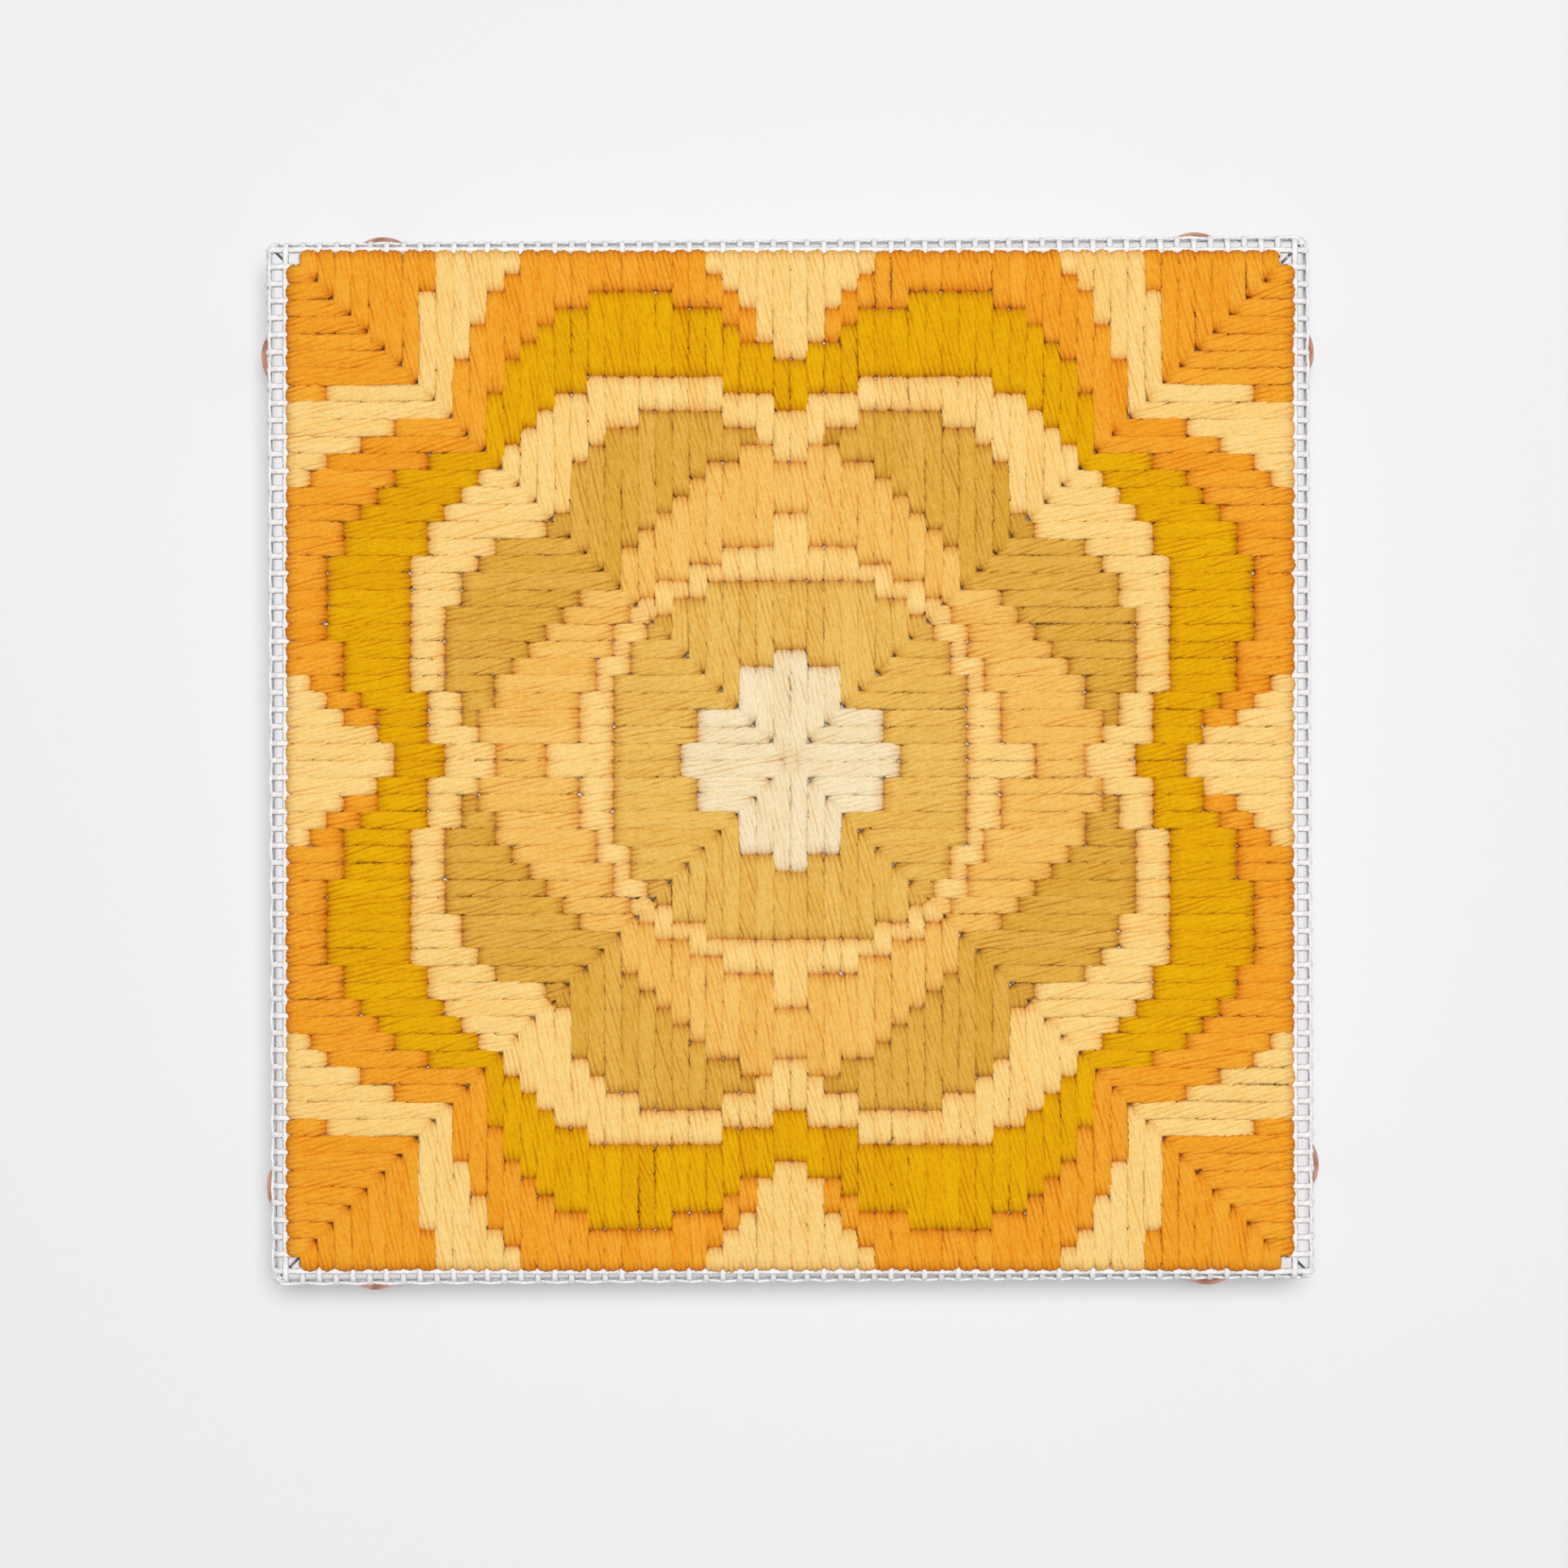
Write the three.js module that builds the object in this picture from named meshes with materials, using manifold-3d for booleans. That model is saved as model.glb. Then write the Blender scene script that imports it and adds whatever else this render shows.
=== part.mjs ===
// Needlepoint panel: a square field of wool stitches on white mono canvas, drawn over a small mitred
// wooden frame and held at the sides by domed tacks. It lies on its back with the stitches upward.
// Millimetres, +Z up. X runs across the picture, Y up the picture, and z = 0 is the back of the frame.

import * as THREE from 'three';
import { ConvexGeometry } from 'three/addons/geometries/ConvexGeometry.js';
import { mergeVertices } from 'three/addons/utils/BufferGeometryUtils.js';
import Module from 'manifold-3d';

// Driving dimensions
const MESH_PITCH = 2.54; // ten canvas threads to the inch
const FIELD_MESHES = 59; // stitched meshes along each side
const FIELD_TURN = -0.355; // degrees that the stitched field sits out of square on the frame
const WARP_STRETCH = 1.006; // the canvas is drawn a little longer up the picture, and narrower across it
const FRAME_SIDE = 154.4; // a nominal six inch frame, with its bars a little full
const BAR_WIDTH = 19;
const BAR_DEPTH = 19;
const SHOULDER = 1; // rounding of the frame's outer front edges
const CORNER_SEED = 0.4; // corner radius of the flat front, before the shoulder is added to it
const CANVAS_THICK = 1;
const HEM_HEIGHT = 2; // cut edge of the canvas above the back of the frame
const PLEAT_LEG = 11; // the folded triangle of spare canvas at each corner
const PLEAT_THICK = 1;
const WOOL_BASE = 0.7; // wool between the ridges and along the diagonal grooves
const WOOL_CROWN = 1.7; // wool at the top of a ridge
const RIDGE_HEIGHT = 0.45;
const RIDGE_FLAT = 0.5; // share of a ridge's width that is its flat top
const FIELD_SLOPE = 1.2; // width of the slope at the field's rim and beside the diagonals
const TACK_HEAD_RADIUS = 4.1;
const TACK_HEAD_HEIGHT = 1.2;
const TACK_PIN_RADIUS = 0.6;
const TACK_PIN_LENGTH = 9;
const TACK_POINT_LENGTH = 2;
const TACK_HEIGHT = 9.5; // tack centres above the back of the frame
const GAP = 0.3; // clearance between neighbouring pieces
const REACH = 100; // half of a trimming block, larger than the part

// How finely the round shapes are faceted
const CORNER_STEPS = 4;
const SHOULDER_STEPS = 5;
const PIN_SIDES = 12;
const TACK_SIDES = 18;
const DOME_STEPS = 5;
const MERGE_TOLERANCE = 1e-4;

// Where the two tacks of each side sit, measured from the middle of the side, clockwise from the front.
const SIDES = [
  { side: 'top', turn: 0, firstTack: -61.3, secondTack: 61.8 },
  { side: 'right', turn: -Math.PI / 2, firstTack: -61.5, secondTack: 61.7 },
  { side: 'bottom', turn: Math.PI, firstTack: -62.8, secondTack: 63.2 },
  { side: 'left', turn: Math.PI / 2, firstTack: -64.1, secondTack: 61.8 },
];

// Sizes that follow from them
const FRAME_HALF = FRAME_SIDE / 2;
const CANVAS_HALF = FRAME_HALF + GAP + CANVAS_THICK;
const CANVAS_FRONT = BAR_DEPTH + GAP + CANVAS_THICK;
const FIELD_HALF = (FIELD_MESHES * MESH_PITCH) / 2;
const WOOL_BACK = CANVAS_FRONT + GAP;

const wasm = await Module();
wasm.setup();

/** A closed geometry as a solid that can be joined and cut. */
function toSolid(geometry) {
  const bare = geometry.clone();
  bare.deleteAttribute('normal');
  bare.deleteAttribute('uv');
  const merged = mergeVertices(bare, MERGE_TOLERANCE);
  const mesh = new wasm.Mesh({
    numProp: 3,
    vertProperties: Float32Array.from(merged.attributes.position.array),
    triVerts: Uint32Array.from(merged.index.array),
  });
  return new wasm.Manifold(mesh);
}

/** A solid's vertices and triangles as a geometry. */
function toGeometry(solid) {
  const { vertProperties, triVerts } = solid.getMesh();
  const geometry = new THREE.BufferGeometry();
  geometry.setAttribute('position', new THREE.BufferAttribute(Float32Array.from(vertProperties), 3));
  geometry.setIndex(new THREE.BufferAttribute(Uint32Array.from(triVerts), 1));
  geometry.computeVertexNormals();
  return geometry;
}

/** An outline in X and Y, drawn upward in Z from one height to another. */
function prism(points, bottom, top) {
  const shape = new THREE.Shape(points.map(([x, y]) => new THREE.Vector2(x, y)));
  const geometry = new THREE.ExtrudeGeometry(shape, { depth: top - bottom, bevelEnabled: false });
  return geometry.translate(0, 0, bottom);
}

/** A square outline with rounded corners. */
function roundedSquare(half, radius) {
  const shape = new THREE.Shape();
  const centre = half - radius;
  shape.absarc(centre, centre, radius, 0, Math.PI / 2);
  shape.absarc(-centre, centre, radius, Math.PI / 2, Math.PI);
  shape.absarc(-centre, -centre, radius, Math.PI, 1.5 * Math.PI);
  shape.absarc(centre, -centre, radius, 1.5 * Math.PI, 2 * Math.PI);
  return shape;
}

/** The frame's whole block grown by a layer, with its front edges and upright corners rounded over. */
function frameBlock(grow, bottom) {
  const radius = SHOULDER + grow;
  const geometry = new THREE.ExtrudeGeometry(roundedSquare(FRAME_HALF - SHOULDER, CORNER_SEED), {
    depth: BAR_DEPTH,
    curveSegments: CORNER_STEPS,
    bevelEnabled: true,
    bevelSize: radius,
    bevelThickness: radius,
    bevelSegments: SHOULDER_STEPS,
  });
  geometry.translate(0, 0, -SHOULDER);
  const square = [[-REACH, -REACH], [REACH, -REACH], [REACH, REACH], [-REACH, REACH]];
  return toSolid(geometry).intersect(toSolid(prism(square, bottom, REACH)));
}

/** The hole that a tack's pin goes through, at a place along the top side. */
function pinHole(along) {
  const radius = TACK_PIN_RADIUS + GAP;
  const length = TACK_PIN_LENGTH + 2 * GAP;
  const geometry = new THREE.CylinderGeometry(radius, radius, length, PIN_SIDES);
  return toSolid(geometry.translate(along, CANVAS_HALF + 2 * GAP - length / 2, TACK_HEIGHT));
}

/** The canvas: the skin between two grown blocks, cut at its hem, with pleats folded on two sides. */
function canvasGeometry() {
  let canvas = frameBlock(GAP + CANVAS_THICK, HEM_HEIGHT).subtract(frameBlock(GAP, 0));
  const cornerStart = FRAME_HALF - SHOULDER - CORNER_SEED;
  const pleat = [
    [cornerStart, HEM_HEIGHT],
    [cornerStart, HEM_HEIGHT + PLEAT_LEG],
    [cornerStart - PLEAT_LEG, HEM_HEIGHT],
  ];
  for (const { turn } of [SIDES[0], SIDES[2]]) {
    for (const hand of [-1, 1]) {
      const flap = prism(pleat.map(([x, z]) => [hand * x, z]), -PLEAT_THICK, CANVAS_THICK / 2);
      flap.rotateX(Math.PI / 2).translate(0, CANVAS_HALF, 0).rotateZ(turn);
      canvas = canvas.add(toSolid(flap));
    }
  }
  for (const { turn, firstTack, secondTack } of SIDES) {
    for (const along of [firstTack, secondTack]) {
      canvas = canvas.subtract(toSolid(toGeometry(pinHole(along)).rotateZ(turn)));
    }
  }
  return toGeometry(canvas);
}

/** The top bar: the frame's block inside a mitred outline, with its two pin holes. */
function barGeometry(firstTack, secondTack) {
  const inside = FRAME_HALF - BAR_WIDTH;
  const outline = [
    [-inside + GAP, inside],
    [inside - GAP, inside],
    [REACH - GAP, REACH],
    [-REACH + GAP, REACH],
  ];
  const bar = frameBlock(0, 0).intersect(toSolid(prism(outline, 0, REACH)));
  return toGeometry(bar.subtract(pinHole(firstTack)).subtract(pinHole(secondTack)));
}

/** The upper quarter of the field: a ridge for each stitch column, sloping at the rim and the diagonals. */
function ridgedQuarter() {
  const columns = FIELD_MESHES - 1;
  const crown = WOOL_BACK + WOOL_CROWN;
  const section = [[(-columns / 2) * MESH_PITCH, WOOL_BACK]];
  for (let column = 0; column < columns; column += 1) {
    const left = (column - columns / 2) * MESH_PITCH;
    section.push([left, crown - RIDGE_HEIGHT]);
    section.push([left + (0.5 - RIDGE_FLAT / 2) * MESH_PITCH, crown]);
    section.push([left + (0.5 + RIDGE_FLAT / 2) * MESH_PITCH, crown]);
  }
  section.push([(columns / 2) * MESH_PITCH, crown - RIDGE_HEIGHT]);
  section.push([(columns / 2) * MESH_PITCH, WOOL_BACK]);
  const ridges = prism(section, -FIELD_HALF, 0).rotateX(Math.PI / 2);

  const side = FIELD_HALF;
  const inset = FIELD_SLOPE * (1 + Math.SQRT2);
  const quarter = new ConvexGeometry([
    new THREE.Vector3(0, 0, WOOL_BACK),
    new THREE.Vector3(-side, side, WOOL_BACK),
    new THREE.Vector3(side, side, WOOL_BACK),
    new THREE.Vector3(0, FIELD_SLOPE * Math.SQRT2, crown),
    new THREE.Vector3(-side + inset, side - FIELD_SLOPE, crown),
    new THREE.Vector3(side - inset, side - FIELD_SLOPE, crown),
  ]);
  return toGeometry(toSolid(ridges).intersect(toSolid(quarter)));
}

/** The stitched field: four ridged quarters on one base, with the corner meshes left unstitched. */
function stitchingGeometry() {
  const far = FIELD_HALF;
  const near = FIELD_HALF - MESH_PITCH;
  const outline = [
    [near, -far],
    [far, -near],
    [far, near],
    [near, far],
    [-near, far],
    [-far, near],
    [-far, -near],
    [-near, -far],
  ];
  let field = toSolid(prism(outline, WOOL_BACK, WOOL_BACK + WOOL_BASE));
  const trim = toSolid(prism(outline, WOOL_BACK, REACH));
  for (const { turn } of SIDES) {
    field = field.add(toSolid(ridgedQuarter().rotateZ(turn)).intersect(trim));
  }
  return toGeometry(field);
}

/** A tack: a pointed pin under a shallow dome, turned about Y with the dome towards +Y. */
function tackGeometry() {
  const dome = (TACK_HEAD_RADIUS ** 2 + TACK_HEAD_HEIGHT ** 2) / (2 * TACK_HEAD_HEIGHT);
  const spread = Math.asin(TACK_HEAD_RADIUS / dome);
  const profile = [
    new THREE.Vector2(0, -TACK_PIN_LENGTH),
    new THREE.Vector2(TACK_PIN_RADIUS, -TACK_PIN_LENGTH + TACK_POINT_LENGTH),
    new THREE.Vector2(TACK_PIN_RADIUS, 0),
  ];
  for (let step = 0; step < DOME_STEPS; step += 1) {
    const angle = spread * (1 - step / DOME_STEPS);
    const drop = dome * (1 - Math.cos(angle));
    profile.push(new THREE.Vector2(dome * Math.sin(angle), TACK_HEAD_HEIGHT - drop));
  }
  profile.push(new THREE.Vector2(0, TACK_HEAD_HEIGHT));
  return new THREE.LatheGeometry(profile, TACK_SIDES);
}

const cotton = new THREE.MeshStandardMaterial({ color: 0xf2f1f3, roughness: 0.85, metalness: 0 });
const wool = new THREE.MeshStandardMaterial({ color: 0xe9b04c, roughness: 0.95, metalness: 0 });
const primedPine = new THREE.MeshStandardMaterial({ color: 0xeeebe5, roughness: 0.6, metalness: 0 });
const copper = new THREE.MeshStandardMaterial({ color: 0xb0683c, roughness: 0.35, metalness: 1 });

/** A named piece with a material of its own. */
function piece(name, geometry, material) {
  const mesh = new THREE.Mesh(geometry, material.clone());
  mesh.name = name;
  return mesh;
}

const panel = new THREE.Group();
panel.add(piece('canvas', canvasGeometry(), cotton));

const stitching = piece('wool_stitching', stitchingGeometry(), wool);
stitching.rotation.z = THREE.MathUtils.degToRad(FIELD_TURN);
stitching.scale.set(1 / WARP_STRETCH, WARP_STRETCH, 1);
panel.add(stitching);

for (const { side, turn, firstTack, secondTack } of SIDES) {
  const sideGroup = new THREE.Group();
  sideGroup.rotation.z = turn;
  sideGroup.add(piece(`bar_${side}`, barGeometry(firstTack, secondTack), primedPine));
  [firstTack, secondTack].forEach((along, index) => {
    const tack = piece(`tack_${side}_${index + 1}`, tackGeometry(), copper);
    tack.position.set(along, CANVAS_HALF + GAP, TACK_HEIGHT);
    sideGroup.add(tack);
  });
  panel.add(sideGroup);
}

export default panel;
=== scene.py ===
import math

import bpy
import numpy as np
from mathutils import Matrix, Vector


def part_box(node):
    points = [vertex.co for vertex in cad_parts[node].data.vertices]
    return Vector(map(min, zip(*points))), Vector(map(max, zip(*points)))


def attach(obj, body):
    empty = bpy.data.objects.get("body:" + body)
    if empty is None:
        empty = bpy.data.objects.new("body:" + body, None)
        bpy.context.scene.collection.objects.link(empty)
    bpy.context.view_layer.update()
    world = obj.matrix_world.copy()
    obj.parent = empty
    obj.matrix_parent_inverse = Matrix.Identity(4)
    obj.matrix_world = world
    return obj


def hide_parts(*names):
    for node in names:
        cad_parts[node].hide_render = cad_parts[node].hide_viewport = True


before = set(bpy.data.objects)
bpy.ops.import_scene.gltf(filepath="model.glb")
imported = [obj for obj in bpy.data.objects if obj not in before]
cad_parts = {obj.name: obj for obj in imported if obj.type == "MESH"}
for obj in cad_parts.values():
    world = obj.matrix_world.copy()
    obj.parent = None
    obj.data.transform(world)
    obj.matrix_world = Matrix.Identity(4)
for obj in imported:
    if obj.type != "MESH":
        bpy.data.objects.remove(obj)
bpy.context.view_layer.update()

# The stretcher frame: four bars of pine with mitred corners, primed in a pale grey so that nothing dark
# shows through the canvas. The bars are the CAD solids, so this section only gives them their primer, with
# the grain telling through it.


class Wire:
    """One shader socket with Python's arithmetic on it: each operator adds a Math node to the same tree."""

    def __init__(self, tree, socket=None):
        self.tree = tree
        self.socket = socket

    def node(self, kind, settings, inputs, output=0):
        """Any other node: its type, then its settings, then the values or links of its sockets."""
        made = self.tree.nodes.new(kind)
        for name, value in settings.items():
            setattr(made, name, value)
        for name, value in inputs.items():
            if isinstance(value, Wire):
                self.tree.links.new(value.socket, made.inputs[name])
            else:
                made.inputs[name].default_value = value
        return Wire(self.tree, made.outputs[output])

    def math(self, operation, first, second=0.0):
        return self.node("ShaderNodeMath", {"operation": operation}, {0: first, 1: second})

    def __add__(self, other):
        return self.math("ADD", self, other)

    def __radd__(self, other):
        return self.math("ADD", other, self)

    def __sub__(self, other):
        return self.math("SUBTRACT", self, other)

    def __rsub__(self, other):
        return self.math("SUBTRACT", other, self)

    def __mul__(self, other):
        return self.math("MULTIPLY", self, other)

    def __rmul__(self, other):
        return self.math("MULTIPLY", other, self)


def new_finish(name, **constants):
    """A material with the constant sockets of its shader set, and the Wire that its pattern starts from."""
    material = bpy.data.materials.new(name)
    material.use_nodes = True
    shader = material.node_tree.nodes["Principled BSDF"]
    for socket, value in constants.items():
        shader.inputs[socket.replace("_", " ")].default_value = value
    return material, shader, Wire(material.node_tree)


def feed(shader, **wires):
    """Links each pattern to the shader's socket of that name."""
    for socket, wire in wires.items():
        wire.tree.links.new(wire.socket, shader.inputs[socket.replace("_", " ")])


def blend(amount, first, second):
    """A colour that goes from the first to the second as amount goes from 0 to 1."""
    return amount.node("ShaderNodeMix", {"data_type": "RGBA"}, {0: amount, 6: first, 7: second}, 2)


def ease(wire, low, high):
    """0 below low, 1 above high, and a smooth step between them."""
    return wire.node(
        "ShaderNodeMapRange",
        {"interpolation_type": "SMOOTHSTEP"},
        {"Value": wire, "From Min": low, "From Max": high},
    )


def noise(wire, place, scale, detail=3.0, roughness=0.55):
    """Smooth noise from 0 to 1 at a place, with scale in cycles per unit of that place."""
    return wire.node(
        "ShaderNodeTexNoise",
        {},
        {"Vector": place, "Scale": scale, "Detail": detail, "Roughness": roughness},
    )


def object_place(wire):
    """The point itself, in metres from the frame's origin."""
    return wire.node("ShaderNodeTexCoord", {}, {}, "Object")


def stretched(wire, place, scale):
    """A place with each axis multiplied by its own scale, which draws a pattern out into streaks."""
    return wire.node("ShaderNodeMapping", {}, {"Vector": place, "Scale": scale})


def bump(wire, height, distance, strength):
    """A normal that stands for a height from 0 to 1 over that distance in metres."""
    return wire.node("ShaderNodeBump", {}, {"Height": height, "Distance": distance, "Strength": strength})


def colour(red, green, blue):
    """A screen colour from 0 to 255, as the linear light that a shader takes."""
    screen = np.array([red, green, blue]) / 255
    light = np.where(screen <= 0.04045, screen / 12.92, ((screen + 0.055) / 1.055) ** 2.4)
    return (*light.tolist(), 1.0)


PRIMER = colour(226, 226, 230)
THIN_PRIMER = colour(216, 209, 197)
KNOT = colour(205, 180, 146)
GRAIN_ALONG = 35
GRAIN_ACROSS = 700


def primed_pine(name, stretch):
    """Pale primer on pine: long streaks where the grain drinks it in, and a rare darker knot."""
    material, shader, wire = new_finish(name, Specular_IOR_Level=0.35)
    place = object_place(wire)
    along = stretched(wire, place, stretch)
    grain = noise(wire, along, 1.0, 5.0, 0.6)
    pores = noise(wire, along, 4.0, 2.0)
    knots = noise(wire, place, 38.0, 1.0)
    coat = blend(ease(grain, 0.5, 0.72) * 0.55, PRIMER, THIN_PRIMER)
    coat = blend(ease(knots, 0.68, 0.78) * 0.5, coat, KNOT)
    feed(
        shader,
        Base_Color=coat,
        Roughness=0.5 + grain * 0.25,
        Normal=bump(wire, grain * 0.7 + pores * 0.3, 0.00025, 0.6),
    )
    return material


LEVEL_PINE = primed_pine("primed_pine_level", (GRAIN_ALONG, GRAIN_ACROSS, GRAIN_ACROSS))
UPRIGHT_PINE = primed_pine("primed_pine_upright", (GRAIN_ACROSS, GRAIN_ALONG, GRAIN_ACROSS))
for bar, pine in {
    "bar_top": LEVEL_PINE,
    "bar_right": UPRIGHT_PINE,
    "bar_bottom": LEVEL_PINE,
    "bar_left": UPRIGHT_PINE,
}.items():
    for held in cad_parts[bar].material_slots:
        held.material = pine

# The canvas: one square of stiff white cotton mono canvas, about ten threads to the inch, woven over one
# and under one. It is drawn over the front and down the sides, where its raw edge ends just above the
# back, and its spare cloth is folded at the corners. Lengths from here to the tacks are in millimetres.
MM = 0.001
PITCH = 2.525
CLOTH_TURN = math.radians(-0.355)
WARP_STRETCH = 1.006
THREAD_WIDE = 0.46
THREAD_TALL = 0.24
CRIMP = 0.11
BAR_ROUNDING = 1.0
SLACK = 0.08
SIDE_EASE = 0.12
RAW_EDGE_RISE = 0.3
LAST_WORKED = 29
FIELD_EDGE = LAST_WORKED + 0.5
QUARTER_TURN = math.pi / 2
OUT_OF_FACE = np.array([0.0, 0.0, 1.0])
canvas_low, canvas_high = (np.array(corner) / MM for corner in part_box("canvas"))
bar_low, bar_high = (np.array(corner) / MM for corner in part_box("bar_top"))
HALF_THICK = THREAD_TALL + CRIMP
SHOULDER = BAR_ROUNDING + SLACK + HALF_THICK
FLAT_HALF = bar_high[1] - BAR_ROUNDING + SIDE_EASE
CLOTH_LEVEL = bar_high[2] + SLACK + HALF_THICK
CLOTH_REACH = CLOTH_LEVEL - canvas_low[2] + SHOULDER * (QUARTER_TURN - 1) - RAW_EDGE_RISE
CUT_HALF = FLAT_HALF + CLOTH_REACH


def turned(across, along, angle):
    """The pair of coordinates turned by an angle, anticlockwise seen from the front."""
    return (
        across * np.cos(angle) - along * np.sin(angle),
        across * np.sin(angle) + along * np.cos(angle),
    )


def over_frame(across, along, lift):
    """A point of the flat cloth brought onto the frame, in millimetres.

    The cloth is drawn a little longer up the picture. On the front it stays there. Past it, it goes round
    the shoulder's arc and then straight down, in the direction in which it lay from the nearest point of the
    front. Lift moves it out along the cloth's normal."""
    across = across / WARP_STRETCH
    along = along * WARP_STRETCH
    near_x = np.clip(across, -FLAT_HALF, FLAT_HALF)
    near_y = np.clip(along, -FLAT_HALF, FLAT_HALF)
    past = np.hypot(across - near_x, along - near_y)
    bend = np.minimum(past / SHOULDER, QUARTER_TURN)
    out = (SHOULDER + lift) * np.sin(bend) / np.maximum(past, 1e-9)
    hang = np.maximum(past - SHOULDER * QUARTER_TURN, 0)
    return np.stack(
        [
            near_x + (across - near_x) * out,
            near_y + (along - near_y) * out,
            CLOTH_LEVEL - SHOULDER + (SHOULDER + lift) * np.cos(bend) - hang,
        ],
        axis=-1,
    )


def unstretched(across, along):
    """The flat point that the stretch up the picture takes to this one."""
    return across * WARP_STRETCH, along / WARP_STRETCH


def carried(paths, across, section_x, section_y):
    """A section carried along each path: points shaped (paths, rings, points round the section, 3).

    The section's x lies across the path and its y is square to that and to the path's own direction."""
    ahead = np.gradient(paths, axis=1)
    ahead = ahead / np.linalg.norm(ahead, axis=-1, keepdims=True)
    up = np.cross(ahead, across)
    up = up / np.linalg.norm(up, axis=-1, keepdims=True)
    side = np.cross(up, ahead)
    return (
        paths[:, :, None]
        + side[:, :, None] * section_x[..., None]
        + up[:, :, None] * section_y[..., None]
    )


def tube_piece(name, bundles, material):
    """One mesh of closed tubes, riding on the frame.

    A bundle is the points of like tubes, shaped (tubes, rings, points round, 3), with the length along each
    tube, a tone for each tube and a painted light for each point, which is low where the colour is darkened
    into painted shade. Quads join each ring to the next, and a flat face closes either end. The UV map holds
    the length along the tube and the turn round it."""
    corners = []
    sizes = []
    spots = []
    first = 0
    for points, length, tone, painted_light in bundles:
        tubes, rings, around, _ = points.shape
        index = first + np.arange(tubes * rings * around).reshape(tubes, rings, around)
        beside = np.roll(index, -1, axis=2)
        quads = np.stack([index[:, :-1], beside[:, :-1], beside[:, 1:], index[:, 1:]], axis=-1)
        ends = np.stack([index[:, 0, ::-1], index[:, -1]])
        far = np.broadcast_to(length[:, :, None], index.shape)
        turn = np.broadcast_to(np.arange(around) / around, index.shape)
        next_turn = turn + 1 / around
        quad_far = np.stack([far[:, :-1], far[:, :-1], far[:, 1:], far[:, 1:]], axis=-1)
        quad_turn = np.stack([turn[:, 1:], next_turn[:, 1:], next_turn[:, 1:], turn[:, 1:]], axis=-1)
        end_far = np.stack([far[:, 0], far[:, -1]])
        end_turn = np.stack([turn[:, 0], turn[:, -1]])
        corners += [quads.ravel(), ends.ravel()]
        sizes += [np.full(quads.size // 4, 4), np.full(2 * tubes, around)]
        spots += [
            np.stack([quad_far.ravel(), quad_turn.ravel()], axis=-1),
            np.stack([end_far.ravel(), end_turn.ravel()], axis=-1),
        ]
        first += index.size
    mesh = bpy.data.meshes.new(name)
    vertices = np.concatenate([points.reshape(-1, 3) for points, *_ in bundles]) * MM
    loops = np.concatenate(corners)
    totals = np.concatenate(sizes)
    mesh.vertices.add(len(vertices))
    mesh.vertices.foreach_set("co", vertices.ravel())
    mesh.loops.add(len(loops))
    mesh.loops.foreach_set("vertex_index", loops)
    mesh.polygons.add(len(totals))
    mesh.polygons.foreach_set("loop_start", np.concatenate([[0], np.cumsum(totals)[:-1]]))
    mesh.update(calc_edges=True)
    mesh.shade_smooth()
    mesh.uv_layers.new(name="length_and_turn").data.foreach_set("uv", np.concatenate(spots).ravel())
    # The tone varies at random from tube to tube; the painted light darkens the colour into painted shade
    # where it is low.
    shades = {
        "tone": [np.broadcast_to(tone[:, None, None], points.shape[:3]) for points, _, tone, _ in bundles],
        "painted_light": [np.broadcast_to(painted_light, points.shape[:3]) for points, _, _, painted_light in bundles],
    }
    for shade, values in shades.items():
        held = mesh.attributes.new(shade, "FLOAT", "POINT")
        held.data.foreach_set("value", np.concatenate([part.ravel() for part in values]))
    mesh.materials.append(material)
    piece = bpy.data.objects.new(name, mesh)
    bpy.context.scene.collection.objects.link(piece)
    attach(piece, "root")
    return piece


def oval_section(wide, tall, around):
    """The points of an ellipse, as across and up."""
    angle = np.arange(around) * 2 * math.pi / around
    return wide * np.cos(angle), tall * np.sin(angle)


def thread_bundle(across, along, lift, flat_side, around, dice):
    """Canvas threads as flattened tubes: flat paths brought onto the frame, with their weave as lift."""
    paths = over_frame(across, along, lift)
    section = oval_section(THREAD_WIDE, THREAD_TALL, around)
    points = carried(paths, np.broadcast_to(flat_side, paths.shape), *section)
    steps = np.linalg.norm(np.diff(paths, axis=1), axis=-1)
    length = np.concatenate([np.zeros((len(paths), 1)), np.cumsum(steps, axis=1)], axis=1)
    # Painted light that follows the lift: painted shade where the thread lies low, under another thread or
    # sunk beneath the wool.
    return points, length, dice.uniform(-1, 1, len(paths)), (0.5 + lift / CRIMP / 2)[:, :, None]


def crossing_threads(columns, places, quarter, around, dice, raised=0.0):
    """Threads that run up the cloth through the front, over the places given in pitches.

    Each goes over one crossing thread and under the next: a cosine of its place, turned over from thread to
    thread."""
    column = columns[:, None]
    place = np.broadcast_to(places, (len(column), len(places)))
    weave = CRIMP * np.cos(math.pi * place) * np.where((column + quarter) % 2, -1, 1)
    angle = CLOTH_TURN - quarter * QUARTER_TURN
    across, along = turned(column * PITCH, place * PITCH, angle)
    side = np.array([*turned(1.0, 0.0, angle), 0.0])
    return thread_bundle(across, along, weave + raised, side, around, dice)


BENT_RINGS = 5


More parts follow.
